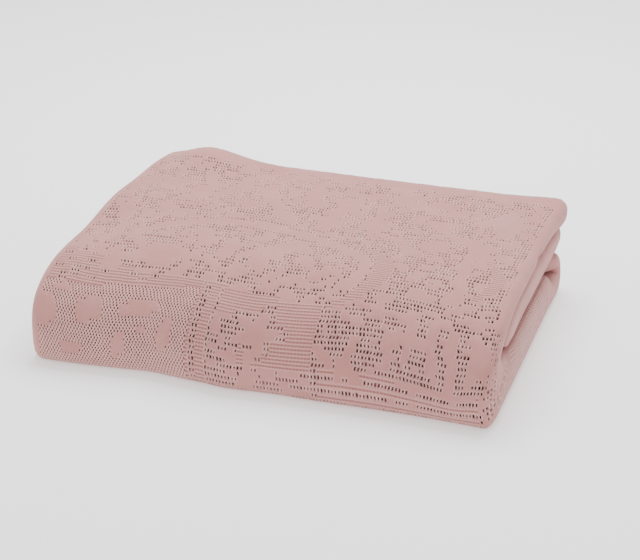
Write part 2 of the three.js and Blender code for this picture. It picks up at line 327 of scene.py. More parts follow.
# %% [markdown]
# ## The way the pile runs
#
# The rows follow the pile from the hem on top, round the front, along the bottom, round the fold at
# the lower back and then inside, round the slit, to the free end under the hem. Rows that show are
# one weave cell apart. Hidden rows are wider.

# %% The row table: name, cells, rows
RUN = [
    ("top", 40, 40),
    ("upper front", 27, 27),
    ("lower front", 5, 5),
    ("bottom", 53, 12),
    ("back turn", 13, 10),
    ("inner bottom", 42, 9),
    ("inner front", 7, 9),
    ("inner top", 38, 9),
]
SHOWN_ROWS = lines_before(RUN, "bottom")


def even_angles(low, high, count):
    """Angles that cut the skin of the front roll into equal lengths."""
    angles = np.linspace(low, high, 600)
    points = np.array([front_points(a)[0] for a in angles])
    lengths = np.append(0, np.cumsum(np.hypot(*np.diff(points, axis=0).T)))
    return np.interp(np.linspace(0, lengths[-1], count + 1), lengths, angles)


def run_rows():
    """A station for every row line: its ruling, pile and turn, and its place in cells."""
    rows = {name: count for name, _, count in RUN}

    def even(name, start, end):
        return np.linspace(start, end, rows[name] + 1)

    spread = {
        "top": [top_ruling(y) for y in even("top", HEM_Y, FRONT["top_y"])],
        "upper front": [front_ruling(a) for a in even_angles(0.5, 89.9, rows["upper front"])],
        "lower front": [front_ruling(a) for a in even_angles(90.1, 179.5, rows["lower front"])],
        "bottom": [bottom_ruling(y) for y in even("bottom", FRONT["bottom_y"], TURN_Y)],
        "inner bottom": [bottom_ruling(y) for y in even("inner bottom", TURN_Y, FRONT["bottom_y"])],
        "inner front": [front_ruling(a) for a in even("inner front", 179.5, 0.5)],
        "inner top": [top_ruling(y) for y in even("inner top", FRONT["top_y"], INNER_END_Y)],
    }
    made = []
    for name, _, count in RUN:
        if name == "back turn":
            made += [(bottom_ruling(TURN_Y), t < 0.5, t) for t in np.linspace(0, 1, count + 1)[:-1]]
        else:
            made += [(r, not name.startswith("inner"), None) for r in spread[name][:-1]]
    made.append((spread["inner top"][-1], False, None))
    steps = np.concatenate([np.full(count, cells / count) for _, cells, count in RUN])
    return made, np.append(0, np.cumsum(steps))


ROWS, ROW_CELLS = run_rows()
print("row lines:", len(ROWS), "cloth length", round(ROW_CELLS[-1] * CELL_Y * MM, 2), "m")


# %% The uneven set of the real stack
def corner_inset(y, front, back):
    at_front = np.clip((FRONT["y"] + front[1] - y) / front[1], 0, 1)
    at_back = np.clip((y - HEM_Y + back[1]) / back[1], 0, 1)
    return front[0] * (1 - np.sqrt(1 - at_front**2)) + back[0] * (1 - np.sqrt(1 - at_back**2))


def settle(x, y, z):
    """Swells, waves and round corners. The underside stays flat."""
    lift = sum(h * bell(x - bx, sx) * bell(y - by, sy) for bx, by, h, sx, sy in TOP_SWELLS) / HEIGHT
    push = sum(p * bell(x - bx, s) for bx, p, s in FRONT_WAVES) * soft(-y, *FRONT_FADE)
    right = corner_inset(y, CORNERS["right_front"], CORNERS["right_back"])
    left = corner_inset(y, CORNERS["left_front"], CORNERS["left_back"])
    right = right * soft(x, TIP["top"] - CORNER_REACH, TIP["top"])
    left = left * soft(-x, -LEFT["tip"] - CORNER_REACH, -LEFT["tip"])
    return np.stack([x - right + left, y + push, z * (1 + lift * soft(z, 0, HEIGHT))], -1)


def station_points(ruling, outer, turned):
    """The middle of the cloth along one row line."""
    y, angle = ruling["skin"][0], ruling["angle"]
    tucked = soft(cover(ruling), 0, SWELL["tucked"])
    flare = FLARE["x"] * soft(y, FLARE["from_y"], HEM_Y) * (1 - soft(angle, 0, FLARE["until"]))
    outer_tip = mix(TIP["top"] + flare, TIP["bottom"], soft(angle, TIP["from"], TIP["to"]))
    inner_tip = mix(TIP["inner"], ROOM["tip"], tucked)
    turn = turned if turned is not None else float(not outer)
    roll = {k: mix(OUTER_ROLL[k], INNER_ROLL[k], turn) for k in OUTER_ROLL}
    x, index = section(mix(outer_tip, inner_tip, turn) - CLOTH / 2, LEFT["tip"] + CLOTH / 2, roll)
    if turned is None:
        share = layer_depth(ruling, x, index, outer) / ruling_length(ruling)
        return settle(x, *(mix(ruling["skin"][k], ruling["core"][k], share) for k in (0, 1)))
    face = outer_share(ruling, x) * ruling["core"][1]
    near = face - layer_depth(ruling, x, index, True)
    far = layer_depth(ruling, x, index, False) - face
    radius = mix(near, far, turned)
    angle = math.pi * turned
    return settle(x, TURN_Y + radius * math.sin(angle), face - radius * math.cos(angle))


MIDDLE = np.array([station_points(*row) for row in ROWS])
print("middle surface from", MIDDLE.min((0, 1)).round(1), "to", MIDDLE.max((0, 1)).round(1))

# %% [markdown]
# ## Creases
#
# Cloth that has been handled keeps soft troughs and ridges. Each row of the table is one of them:
# its place on the unfolded skin, its half length and half width, its turn and its height. Below
# zero is a trough. Places are given as x along the stack and as the way from the hem down over the
# front. A little unrest from vertex to vertex comes on top, so that no light runs along a row.

# %% Crease table: x, way, half length, half width, turn in degrees, height
CREASES = [
    (-190, 205, 60, 9, 62, -0.9),
    (-150, 300, 45, 8, 78, 0.8),
    (-107, 330, 60, 10, 90, -1.1),
    (-60, 285, 70, 12, 8, -0.7),
    (-24, 345, 45, 12, 88, 0.9),
    (40, 250, 80, 10, -6, 0.7),
    (60, 355, 60, 9, 4, -0.8),
    (120, 300, 55, 9, 20, -0.7),
    (150, 180, 70, 12, 80, 0.8),
    (175, 345, 40, 8, 60, 0.7),
    (200, 130, 50, 7, 84, -0.9),
    (90, 60, 70, 12, 12, -0.7),
    (-40, 110, 90, 14, -10, 0.8),
    (-150, 60, 60, 12, 30, -0.8),
    (196, 250, 45, 6, 78, -0.9),
    (-205, 330, 40, 7, 80, -0.8),
]


def creases(x, way):
    height = 0
    for cx, cw, long, wide, turn, rise in CREASES:
        c, s = math.cos(math.radians(turn)), math.sin(math.radians(turn))
        along = (x - cx) * c + (way - cw) * s
        across = (way - cw) * c - (x - cx) * s
        height = height + rise * bell(along, long) * bell(across, wide)
    return height


def outward(surface):
    """The cloth's own upward side at every crossing of a row line and a column line."""
    normal = np.cross(np.gradient(surface, axis=0), np.gradient(surface, axis=1))
    return normal / np.linalg.norm(normal, axis=-1, keepdims=True)


# %% Creases and unrest, laid on the part of the cloth that shows
FLAT_FROM_X, FLAT_AT_X = 212, 232
SHOWN_WAY, FADE_WAY = SHOWN_ROWS * CELL_Y, 40
UNREST = 0.16
skin_x = (COLUMN_CELLS - SKIN_CENTRE_CELL - 0.5)[None, :] * CELL_X
skin_way = ROW_CELLS[:, None] * CELL_Y
on_skin = soft(-abs(skin_x), -FLAT_AT_X, -FLAT_FROM_X)
on_skin = on_skin * soft(-skin_way, -SHOWN_WAY, -SHOWN_WAY + FADE_WAY)
rng = np.random.default_rng(7)
unrest = rng.normal(0, UNREST, MIDDLE.shape[:2])
unrest = unrest + np.roll(unrest, 1, 0) + np.roll(unrest, 1, 1) + np.roll(unrest, (1, 1), (0, 1))
unrest = unrest / 2
rise = (creases(skin_x, skin_way) + unrest) * on_skin
MIDDLE = MIDDLE + outward(MIDDLE) * rise[..., None]
OUTWARD = outward(MIDDLE)
print("creases from", round(float(rise.min()), 2), "to", round(float(rise.max()), 2), "mm")

# %% [markdown]
# ## The weave chart
#
# A weaver draws such cloth on squared paper, one square per cell. Each square here is one of five
# weaves: plain, eyelet, net (a finer half-drop lace), rib and twill. The chart is made from short
# tables of ordinary leaves, scrolls and bands, so their outlines come out in steps as they do in
# real cloth. The last matching rule wins. Squares that are really cut open get a mark of their own,
# and so does the layer right below them.

# %% Weaves and motif tables
PLAIN, EYELET, NET, RIB, TWILL = range(5)
WEAVES = ("plain", "eyelet", "net", "rib", "twill")
# BELOW marks the layer right below the eyelets, which the material paints darker as painted shade
CUT, BELOW = 5, 12
FIRST_CUT_ROW = 3
SKIN_WIDTH = 440
# Plain leaves: x, way, half length, half width, turn in degrees
LEAVES = [
    (-214, 336, 14, 16, 0), (-167, 327, 15, 12, -24), (-118, 322, 21, 8, -6), (-88, 346, 8, 17, 8),
    (-184, 367, 13, 6, 0), (-134, 360, 7, 13, 14), (-200, 309, 10, 4, 0), (-112, 343, 5, 4, 0),
    (-122, 248, 26, 15, -8), (-150, 258, 15, 7, -12), (-165, 274, 13, 8, 10), (-126, 277, 12, 4, 0),
    (-8, 203, 25, 11, -34), (-24, 226, 12, 13, 10), (-92, 210, 9, 18, -24), (-62, 228, 8, 17, 20),
    (18, 262, 13, 6, -20), (-28, 282, 10, 6, 0), (48, 246, 16, 5, -20), (110, 55, 16, 8, -10),
    (84, 60, 8, 18, 6), (20, 78, 12, 22, 16), (-22, 66, 9, 20, -14), (-66, 92, 10, 22, -20),
    (-104, 62, 8, 20, -8), (-140, 100, 12, 20, -16), (-176, 84, 8, 18, -26), (118, 100, 22, 7, -6),
    (60, 118, 14, 16, 12), (10, 128, 9, 18, 10), (-30, 136, 10, 14, -24), (128, 158, 16, 13, 6),
    (104, 172, 6, 14, -8), (146, 262, 16, 6, 4), (112, 276, 12, 5, -6),
    (200, 282, 12, 8, 20), (112, 292, 26, 4, 12), (88, 306, 14, 5, 18), (136, 318, 8, 7, 0),
    (218, 322, 6, 18, 0), (-196, 170, 9, 20, -20), (-160, 150, 8, 16, -30),
    (-210, 240, 7, 14, -10), (-60, 32, 16, 5, 0), (60, 30, 16, 5, 4), (150, 62, 6, 9, 0),
]
# Arcs: weave, centre x, centre way, radius x, radius way, from and to in degrees, half width
ARCS = [
    (PLAIN, -45, 235, 125, 72, 185, 402, 7.0),
    (EYELET, -45, 235, 115, 62, 190, 396, 2.6),
    (EYELET, -45, 235, 135, 82, 200, 396, 2.6),
    (RIB, -45, 235, 144, 91, 322, 402, 6.0),
    (PLAIN, 128, 205, 62, 76, 276, 350, 8.0),
    (RIB, 132, 215, 74, 60, 318, 400, 5.5),
    (PLAIN, -150, 118, 62, 44, 150, 330, 5.0),
    (PLAIN, 40, 92, 74, 46, 190, 340, 5.0),
    (EYELET, 128, 205, 50, 64, 270, 360, 2.6),
]
# Plain stems: x from, way from, x to, way to, half width
STEMS = [
    (166, 130, 176, 258, 5.5), (146, 302, 143, 340, 4.0), (166, 296, 168, 344, 5.0),
    (186, 300, 188, 352, 5.0), (207, 300, 208, 346, 4.5), (124, 318, 128, 348, 4.0),
    (96, 326, 84, 366, 4.0), (62, 338, 74, 352, 5.0), (86, 352, 104, 366, 5.0),
    (0, 350, -4, 384, 4.2), (140, 359, 214, 361, 2.0),
]
FLOWER = {"x": 2, "way": 328, "radius": 17, "wave": 6.0, "petals": 5, "ring": 4, "ring_half": 4.2}
TWILL_PATCH = {"x": 184, "way": 78, "half_x": 17, "half_way": 34}
HEM_BAND = 17
BLOCKS = {"net_x": -63, "net_way": 293, "border_x": -58, "flower_x": -42, "right_x": 60}
BAND = {"width": 15, "dips_from_x": -125, "slope": 0.4}
RIBS = {"way": 286, "ripple": 5, "length": 24}
# Beds of eyelets under the flower and rows at the right: x from, x to, way from, way to
BEDS = [(-42, -10, 312, 400), (-10, 60, 362, 400)]
ROWS_OF_PAIRS = [(72, 128, 300, 350), (60, 220, 338, 400)]
CLUSTERS_WAY, LOW_ROWS_WAY, BORDER_WAY = 286, 358, 288
BORDER_HALF, THIN_BORDER_HALF = 3.4, 1.7
# Cells: half the skin is 66 of them, and the lower roll turns in between 71 and 81
TURNED_IN = {"columns": (71, 81), "rows": (-5, 46), "share": 0.7}
FRONT_EDGE = {"columns": (0, 72), "rows": (-20, 0), "share": 0.45}


# %% Rules of the chart
def chance(column, row, salt=0.0):
    """A fixed random number from 0 to 1 for every square."""
    return np.modf(np.abs(np.sin(column * 12.9898 + row * 78.233 + salt) * 43758.5453))[0]


def ground(x, way, column, row):
    """Strands of eyelets that wander between plain patches, as in a foliage pattern."""
    u = x + 6 * np.sin(way / 11 + 0.6) + 4 * np.sin(way / 6 + x / 31)
    v = way + 6 * np.sin(x / 13 + 1.2) + 4 * np.sin(x / 7 - way / 40)
    field = np.sin(u / 5.6) + np.sin(v / 5.3)
    field = field + 0.8 * np.sin((u + v) / 9 + 2) + 0.5 * np.sin((u - v) / 15)
    strand = abs(field - 0.1) < 0.92 + 0.2 * soft(x, 60, 120)
    stray = chance(column // 2, row, 3)
    return np.where((strand & (stray < 0.92)) | (stray > 0.95), EYELET, PLAIN)


def arc_distance(x, way, cx, cw, rx, rw, start, end):
    """Distance from an arc, and a fade of its width towards its two ends."""
    angle = np.degrees(np.arctan2((way - cw) / rw, (x - cx) / rx))
    share = ((angle - start) % 360) / (end - start)
    distance = abs(np.hypot((x - cx) / rx, (way - cw) / rw) - 1) * min(rx, rw)
    return distance, np.where(share < 1, np.sqrt(np.clip(4 * share * (1 - share), 0, 1)), 0)


def flower_edge(x, way):
    """Distance from the flower's edge, below zero inside it."""
    right, down = x - FLOWER["x"], way - FLOWER["way"]
    edge = FLOWER["wave"] * np.cos(np.arctan2(down, right) * FLOWER["petals"])
    return np.hypot(right, down) - FLOWER["radius"] - edge


def inside(x, way, x_from, x_to, way_from, way_to):
    return (x > x_from) & (x < x_to) & (way > way_from) & (way < way_to)


def front_blocks(x, way, column, row, kind):
    """The front is laid out in blocks: net, a ribbed border, the flower, and rows of eyelets."""
    left, right = x < BLOCKS["net_x"], x >= BLOCKS["right_x"]
    middle = ~left & ~right
    net_way = BLOCKS["net_way"] + 0.07 * (BLOCKS["net_x"] - x)
    # Eyelets in pairs, the same in wavy clusters, and the same in threes
    pairs = np.where(chance(column // 2, row, 8) < 0.9, EYELET, PLAIN)
    waves = np.sin(x / 5 + 2 * np.sin(way / 9)) + np.sin(way / 4.5 + x / 17)
    clusters = np.where(waves > -0.7, pairs, PLAIN)
    beds = np.where(chance(column // 3, row, 2) < 0.66, pairs, PLAIN)
    # Left: a band of ribs that dips at the end of the stack, and net under it
    bars = np.where(chance(column // 3, row, 9) < 0.8, RIB, EYELET)
    dip = BAND["slope"] * np.clip(BAND["dips_from_x"] - x, 0, 200)
    kind = np.where(left & (way > net_way - BAND["width"] - dip), bars, kind)
    kind = np.where(left & (way > net_way), NET, kind)
    # Middle: ribs, with eyelets beside, under and right round the flower
    ribs_way = RIBS["way"] + RIBS["ripple"] * np.sin(x / RIBS["length"])
    kind = np.where(middle & (way > ribs_way), RIB, kind)
    for block in BEDS:
        kind = np.where(inside(x, way, *block), beds, kind)
    ring = abs(flower_edge(x, way) - FLOWER["ring"]) < FLOWER["ring_half"]
    kind = np.where(ring & (chance(column, row, 6) < 0.9), EYELET, kind)
    # Right: clusters that close up into rows, and ribs between the lowest rows
    kind = np.where(right & (way > CLUSTERS_WAY), clusters, kind)
    for block in ROWS_OF_PAIRS:
        kind = np.where(inside(x, way, *block), pairs, kind)
    kind = np.where(right & (way > LOW_ROWS_WAY) & (row % 2 == 1), RIB, kind)
    # Borders: upright rows of eyelets between the blocks
    borders = abs(x - BLOCKS["border_x"]) < BORDER_HALF
    borders |= abs(x - BLOCKS["right_x"]) < BORDER_HALF
    borders |= abs(x - BLOCKS["flower_x"]) < THIN_BORDER_HALF
    return np.where(borders & (way > BORDER_WAY), EYELET, kind)


def end_weave(column, row):
    """Plain round the right end, but for its front edge and where the lower roll turns in."""
    share = 0.0
    for block in (FRONT_EDGE, TURNED_IN):
        found = inside(column, row - SHOWN_ROWS, *block["columns"], *block["rows"])
        share = np.where(found, block["share"], share)
    return np.where(chance(column, row, 4) < share, EYELET, PLAIN)


def chart(column, row):
    """The weave of the square at a column from the skin's centre and a row from the hem."""
    x = np.asarray(column, float) * CELL_X
    way = (np.asarray(row, float) + 0.5) * CELL_Y
    x = (x + SKIN_WIDTH / 2) % SKIN_WIDTH - SKIN_WIDTH / 2
    way = way % (SHOWN_ROWS * CELL_Y)
    kind = ground(x, way, column, row)
    from_x = (x - TWILL_PATCH["x"]) / TWILL_PATCH["half_x"]
    from_way = (way - TWILL_PATCH["way"]) / TWILL_PATCH["half_way"]
    ragged = 0.85 + 0.3 * chance(column, row, 7)
    kind = np.where(np.hypot(from_x, from_way) < ragged, TWILL, kind)
    kind = front_blocks(x, way, column, row, kind)
    for weave, cx, cw, rx, rw, start, end, half in ARCS:
        distance, fade = arc_distance(x, way, cx, cw, rx, rw, start, end)
        kind = np.where(distance < half * fade, weave, kind)
    for cx, cw, long, wide, turn in LEAVES:
        c, s = math.cos(math.radians(turn)), math.sin(math.radians(turn))
        along = (x - cx) * c + (way - cw) * s
        across = (way - cw) * c - (x - cx) * s
        kind = np.where(np.hypot(along / long, across / wide) < 1, PLAIN, kind)
    for ax, aw, bx, bw, half in STEMS:
        gone = (x - ax) * (bx - ax) + (way - aw) * (bw - aw)
        share = np.clip(gone / ((bx - ax) ** 2 + (bw - aw) ** 2), 0, 1)
        away = np.hypot(x - mix(ax, bx, share), way - mix(aw, bw, share))
        kind = np.where(away < half, PLAIN, kind)
    kind = np.where(flower_edge(x, way) < 0, PLAIN, kind)
    kind = np.where(np.abs(column) > HALF_SKIN, end_weave(column, row), kind)
    return np.where(way < HEM_BAND, PLAIN, kind)


squares = chart(*np.meshgrid(np.arange(-HALF_SKIN, HALF_SKIN + 1), np.arange(SHOWN_ROWS)))
print("squares that show:", {name: int((squares == k).sum()) for k, name in enumerate(WEAVES)})

# %% [markdown]
# ## The flat cloth
#
# The cloth starts as a flat grid, one square per cell where it shows. It is one unit wide per
# column line and row line, so a vertex's own x and y say which lines it lies between. Hidden
# squares are joined, four across on the underside and three along under the skin, because nobody
# sees them.

# %% Flat grid, joined where it is hidden
COLUMN_COUNT, ROW_COUNT = len(COLUMNS) - 1, len(ROWS) - 1
cloth = bmesh.new()
bmesh.ops.create_grid(cloth, x_segments=COLUMN_COUNT, y_segments=ROW_COUNT, size=0.5)
bmesh.ops.translate(cloth, verts=cloth.verts[:], vec=(0.5, 0.5, 0))
bmesh.ops.scale(cloth, verts=cloth.verts[:], vec=(COLUMN_COUNT, ROW_COUNT, 1))
LEFT_BEND, RIGHT_BEND = lines_before(SECTION, "left bend"), lines_before(SECTION, "outer bend")
JOINED_ACROSS, JOINED_ALONG = 4, 3
JOINED_TOP = lines_before(RUN, "upper front") - 1.5


def is_spare(edge):
    """A line between hidden squares that the joining leaves out."""
    a, b = (v.co for v in edge.verts)
    if abs(a.x - b.x) < 0.1:
        inside = min(a.y, b.y) > SHOWN_ROWS + 0.5 and FIRST_SKIN < a.x < RIGHT_BEND
        return inside and round(a.x - FIRST_SKIN) % JOINED_ACROSS != 0
    hidden = max(a.x, b.x) < LEFT_BEND - 0.5 or min(a.x, b.x) > LAST_SKIN + 0.5
    return hidden and 0.5 < a.y < JOINED_TOP and round(a.y) % JOINED_ALONG != 0


before = len(cloth.faces)
bmesh.ops.dissolve_edges(cloth, edges=[e for e in cloth.edges if is_spare(e)], use_verts=True)
print("squares:", before, "then", len(cloth.faces))


# %% [markdown]
# ## Cutting the eyelets
#
# An eyelet in real cloth is a gap that the threads leave between them, and the layer below shows
# through it. So each one is a real hole: the square is inset, the inner face is shaped and then
# taken out. A net square is first cut in four, and two of its quarters get a hole, which sets the
# holes half a step apart from row to row.

# %% Holes
def weave_at(across, along):
    """The weave of the square that holds each place, given in column lines and row lines."""
    column = np.floor(np.interp(across, range(COLUMN_COUNT + 1), COLUMN_CELLS) + 1e-4)
    row = np.floor(np.interp(along, range(ROW_COUNT + 1), ROW_CELLS) + 1e-4)
    return chart(column - SKIN_CENTRE_CELL, row)


def is_cut_out(across, along):
    """Whether a place lies where the cloth shows, so that its eyelets are real holes."""
    return inside(across, along, FIRST_SKIN, LAST_SKIN - 3, FIRST_CUT_ROW, SHOWN_ROWS)


def cut_faces(weave, least_area, most_area=2.0):
    """Faces of one weave that show, with an area in squares between the two limits."""
    centres = np.array([f.calc_center_median()[:2] for f in cloth.faces]).T
    found = is_cut_out(*centres) & (weave_at(*centres) == weave)
    return [f for f, ok in zip(cloth.faces, found) if ok and least_area < f.calc_area() < most_area]


def cut_holes(faces, rim, uneven):
    """Insets each face, makes the inner faces uneven in size and shape, and takes them out."""
    bmesh.ops.inset_individual(cloth, faces=faces, thickness=rim, use_even_offset=True)
    for face in faces:
        middle = face.calc_center_median()
        size = rng.uniform(1 - uneven, 1 + uneven)
        for vert in face.verts:
            jolt = rng.uniform(-uneven, uneven, 2) * rim * 0.5
            vert.co = middle + (vert.co - middle) * size + Vector((jolt[0], jolt[1], 0))
    bmesh.ops.delete(cloth, geom=faces, context="FACES_ONLY")


net_edges = list({e for f in cut_faces(NET, 0.6) for e in f.edges})
bmesh.ops.subdivide_edges(cloth, edges=net_edges, cuts=1, use_grid_fill=True)
quarters = cut_faces(NET, 0.2, 0.3)
holes = [f for f in quarters if sum(math.floor(2 * c) for c in f.calc_center_median()[:2]) % 2 == 0]
cut_holes(holes, rim=0.11, uneven=0.15)
eyelets = cut_faces(EYELET, 0.6)
cut_holes(eyelets, rim=0.275, uneven=0.3)
print("net holes:", len(holes), "eyelets:", len(eyelets))

# %% [markdown]
# ## Thickness and marks
#
# The cloth gets its thickness in one operation, which also closes the walls of every hole. Each
# corner keeps its place on the chart in the UV map, counted in cells. Three marks go to the
# material: the weave of a face, rim on the edges of holes, where painted shade darkens the walls,
# and thread where yarns stand between holes. The holes narrow inwards and the threads between them
# stand a little proud, as twisted yarns do. The layer right below the eyelets is marked too, and is
# painted darker as shade, because little light reaches it.

# %% Solid cloth with its UV map
bmesh.ops.solidify(cloth, geom=cloth.faces[:], thickness=CLOTH)
bmesh.ops.recalc_face_normals(cloth, faces=cloth.faces[:])
# The folding below turns the cloth over, so its faces are turned over first
bmesh.ops.reverse_faces(cloth, faces=cloth.faces[:])
uv = cloth.loops.layers.uv.new("cells")
for face in cloth.faces:
    face.smooth = True
    for loop in face.loops:
        loop[uv].uv = loop.vert.co.xy
flat = bpy.data.meshes.new("blanket")
cloth.to_mesh(flat)
cloth.free()
flat.calc_loop_triangles()
print("cloth:", len(flat.vertices), "vertices", len(flat.loop_triangles), "triangles")


# %% Reading and writing whole columns of mesh data
def read(collection, name, width):
    values = np.empty(len(collection) * width)
    collection.foreach_get(name, values)
    return values.reshape(-1, width)


def mark(name, domain, values):
    attribute = flat.attributes.new(name, "FLOAT", domain)
    attribute.data.foreach_set("value", np.asarray(values, np.float32))


corners = read(flat.uv_layers["cells"].data, "uv", 2)
corners[:, 0] = np.interp(corners[:, 0], range(COLUMN_COUNT + 1), COLUMN_CELLS)
corners[:, 1] = np.interp(corners[:, 1], range(ROW_COUNT + 1), ROW_CELLS)
flat.uv_layers["cells"].data.foreach_set("uv", corners.ravel())

# %% Marks for the material, and the relief of holes and threads
NARROWING = {"outer": 1.12, "inner": 0.72}
RIM_DEPTH, THREAD_RISE = 0.5, 0.35
RIM_SHADE = {"outer": 0.35, "inner": 1.0}
points = read(flat.vertices, "co", 3)
points[:, 2] -= (points[:, 2].min() + points[:, 2].max()) / 2
outer = points[:, 2] > 0
place = points[:, :2]
off_grid = (abs(place * 2 - np.round(place * 2)) > 2e-3).any(1)
at_hole = off_grid & is_cut_out(*place.T)
is_net = (weave_at(*place.T) == NET)[:, None]
own_middle = np.where(is_net, (np.floor(place * 2) + 0.5) / 2, np.floor(place) + 0.5)
narrow = np.where(outer, NARROWING["outer"], NARROWING["inner"])[:, None]
narrowed = own_middle + (place - own_middle) * narrow
points[:, :2] = np.where(at_hole[:, None], narrowed, place)
threads = np.zeros(len(points))
for dx, dy in ((-0.25, -0.25), (-0.25, 0.25), (0.25, -0.25), (0.25, 0.25)):
    near = (points[:, 0] + dx, points[:, 1] + dy)
    threads += 0.25 * np.isin(weave_at(*near), (EYELET, NET)) * ~at_hole
lift = np.where(at_hole, -RIM_DEPTH, THREAD_RISE * threads) * outer * is_cut_out(*points[:, :2].T)
centres = read(flat.polygons, "center", 3)[:, :2].T
weaves = weave_at(*centres)
marks = weaves + CUT * (np.isin(weaves, (EYELET, NET)) & is_cut_out(*centres))
# The layer right below the eyelets gets its own mark, which the material paints darker as painted
# shade
below_eyelets = (centres[0] > 1) & (centres[0] < lines_before(SECTION, "inner bend"))
below_eyelets &= (centres[1] > FIRST_CUT_ROW) & (centres[1] < SHOWN_ROWS)
mark("weave", "FACE", np.where(below_eyelets, BELOW, marks))
# The rim mark paints shade on the walls of holes, deepest at the inner side
mark("rim", "POINT", at_hole * np.where(outer, RIM_SHADE["outer"], RIM_SHADE["inner"]))
mark("thread", "POINT", threads * outer)
print("rims:", int(at_hole.sum()), "threads:", int((threads > 0).sum()))

# %% [markdown]
# ## Folding
#
# Folding now only moves vertices. A vertex lies between two row lines and two column lines, so its
# place is mixed from the four crossings, and the thickness goes out along the cloth's own normal.
# The free ends of the cloth are pressed a little thinner, as a turned hem is.

# %% The folding of flat points
HEM_SHARE, HEM_ROWS = 0.62, 0.8


def folded(points, lift):
    """Places in the stack of flat points (column line, row line, height in the cloth)."""
    i = np.clip(np.floor(points[:, 0]).astype(int), 0, COLUMN_COUNT - 1)
    j = np.clip(np.floor(points[:, 1]).astype(int), 0, ROW_COUNT - 1)
    s, t = (points[:, 0] - i)[:, None], (points[:, 1] - j)[:, None]

    def mixed(grid):
        near = mix(grid[j, i], grid[j, i + 1], s)
        far = mix(grid[j + 1, i], grid[j + 1, i + 1], s)
        return mix(near, far, t)

    up = mixed(OUTWARD)
    up /= np.linalg.norm(up, axis=1, keepdims=True)
    thin = mix(HEM_SHARE, 1, soft(np.minimum(points[:, 1], ROW_COUNT - points[:, 1]), 0, HEM_ROWS))
    return mixed(MIDDLE) + up * (points[:, 2] * thin + lift)[:, None]


# %% [markdown]
# ## Wander and pockets
#
# No row of a used cloth is straight, so rows and columns wander by a fraction of a cell before they
# are folded. After the folding, a few soft pockets are pressed into the rolls at the right end,
# where the photograph shows one dark hole and some dents.

# %% Pockets between the rolls at the right end: centre, spread and depth along x
POCKETS = [
    ((226, 42, 82), (30, 7, 5), 9.0),
    ((226, 60, 76), (30, 22, 6), 2.5),
    ((226, -84, 41), (30, 9, 6), 5.0),
    ((226, -20, 62), (30, 26, 8), 2.0),
]

# %% Fold the flat cloth and lay it on the model's place
# The wander is in cells and fades out towards the edges of the part that shows
column, row = points[:, 0].copy(), points[:, 1].copy()
shown = soft(column, FIRST_SKIN, FIRST_SKIN + 8) * soft(-column, -LAST_SKIN + 12, -LAST_SKIN + 22)
shown = shown * soft(row, 0, 6) * soft(-row, -SHOWN_ROWS, -SHOWN_ROWS + 8)
wander_x = 0.5 * np.sin(row / 9) * np.sin(column / 21 + 1)
wander_x += 0.22 * np.sin(row * 2.3 + 2 * np.sin(column / 7))
wander_y = 0.45 * np.sin(column / 8.5 + 2) + 0.5 * np.sin(column / 19 + row / 13)
points[:, 0] += wander_x * shown
points[:, 1] += wander_y * shown
stack = folded(points, lift)
middle = (stack.min(0) + stack.max(0)) / 2
stack -= [middle[0], middle[1], stack[:, 2].min()]
cad_middle = (np.array(cad_low) + np.array(cad_high)) / 2
for centre, spread, depth in POCKETS:
    stack[:, 0] -= depth * np.prod(bell(stack - centre, spread), axis=1)
stack = stack * MM + [cad_middle[0], cad_middle[1], cad_low[2]]
flat.vertices.foreach_set("co", stack.ravel())
flat.update()
blanket = bpy.data.objects.new("blanket_cloth", flat)
bpy.context.scene.collection.objects.link(blanket)
print("stack from", stack.min(0).round(4), "to", stack.max(0).round(4))

# %% [markdown]
# ## The cotton
#
# Matt dusty rose cotton. The UV map counts weave cells, so its whole part says which square a
# place is in and its fraction says where in that square. The weave mark chooses what is drawn: ribs
# have three grooves to two rows, with painted shade in the grooves and a painted highlight on the
# ridges, twill has slanting lines of painted shade, and squares that were too hidden to be cut get
# a dark dot of painted shade instead of a hole. The threads beside a hole get a painted highlight
# for the light that comes through them, and no two are equally light. Fine yarns run both ways over
# everything.

# %% Material helpers
cotton = bpy.data.materials.new("cotton")
cotton.use_nodes = True
nodes, links = cotton.node_tree.nodes, cotton.node_tree.links
nodes.clear()


def node(kind, inputs=(), **settings):
    """Adds a node, sets it up and joins or fills its inputs in order."""
    made = nodes.new(kind)
    for key, value in settings.items():
        setattr(made, key, value)
    for k, value in enumerate(inputs):
        if isinstance(value, bpy.types.NodeSocket):
            links.new(value, made.inputs[k])
        elif value is not None:
            made.inputs[k].default_value = value
    return made


def maths(operation, *inputs):
    return node("ShaderNodeMath", inputs, operation=operation).outputs[0]


def wave(value, times):
    """A smooth wave from 0 to 1 that repeats the given times per cell."""
    sine = maths("SINE", maths("MULTIPLY", value, 2 * math.pi * times))
    return maths("MULTIPLY_ADD", sine, 0.5, 0.5)


def step(value, low, high):
    made = node("ShaderNodeMapRange", (value, low, high, 0.0, 1.0), interpolation_type="SMOOTHSTEP")
    return made.outputs[0]


def is_weave(number):
    return maths("COMPARE", weave, float(number), 0.4)


def blend(share, low, high):
    made = node("ShaderNodeMix", data_type="RGBA")
    for socket, value in zip((made.inputs[0], made.inputs[6], made.inputs[7]), (share, low, high)):
        if isinstance(value, bpy.types.NodeSocket):
            links.new(value, socket)
        else:
            socket.default_value = value
    return made.outputs[2]


# %% Cotton: the dye
ROSE = (0.485, 0.200, 0.180, 1)
ROSE_LIGHT = (0.555, 0.250, 0.226, 1)
# Painted highlight for the threads between holes and for rib ridges
ROSE_HIGHLIGHT = (0.90, 0.575, 0.53, 1)
ROSE_SHADE = (0.31, 0.110, 0.092, 1)
# Painted shade for dots in place of holes, for hole rims and for the layer below the eyelets
ROSE_DEEP_SHADE = (0.17, 0.052, 0.043, 1)

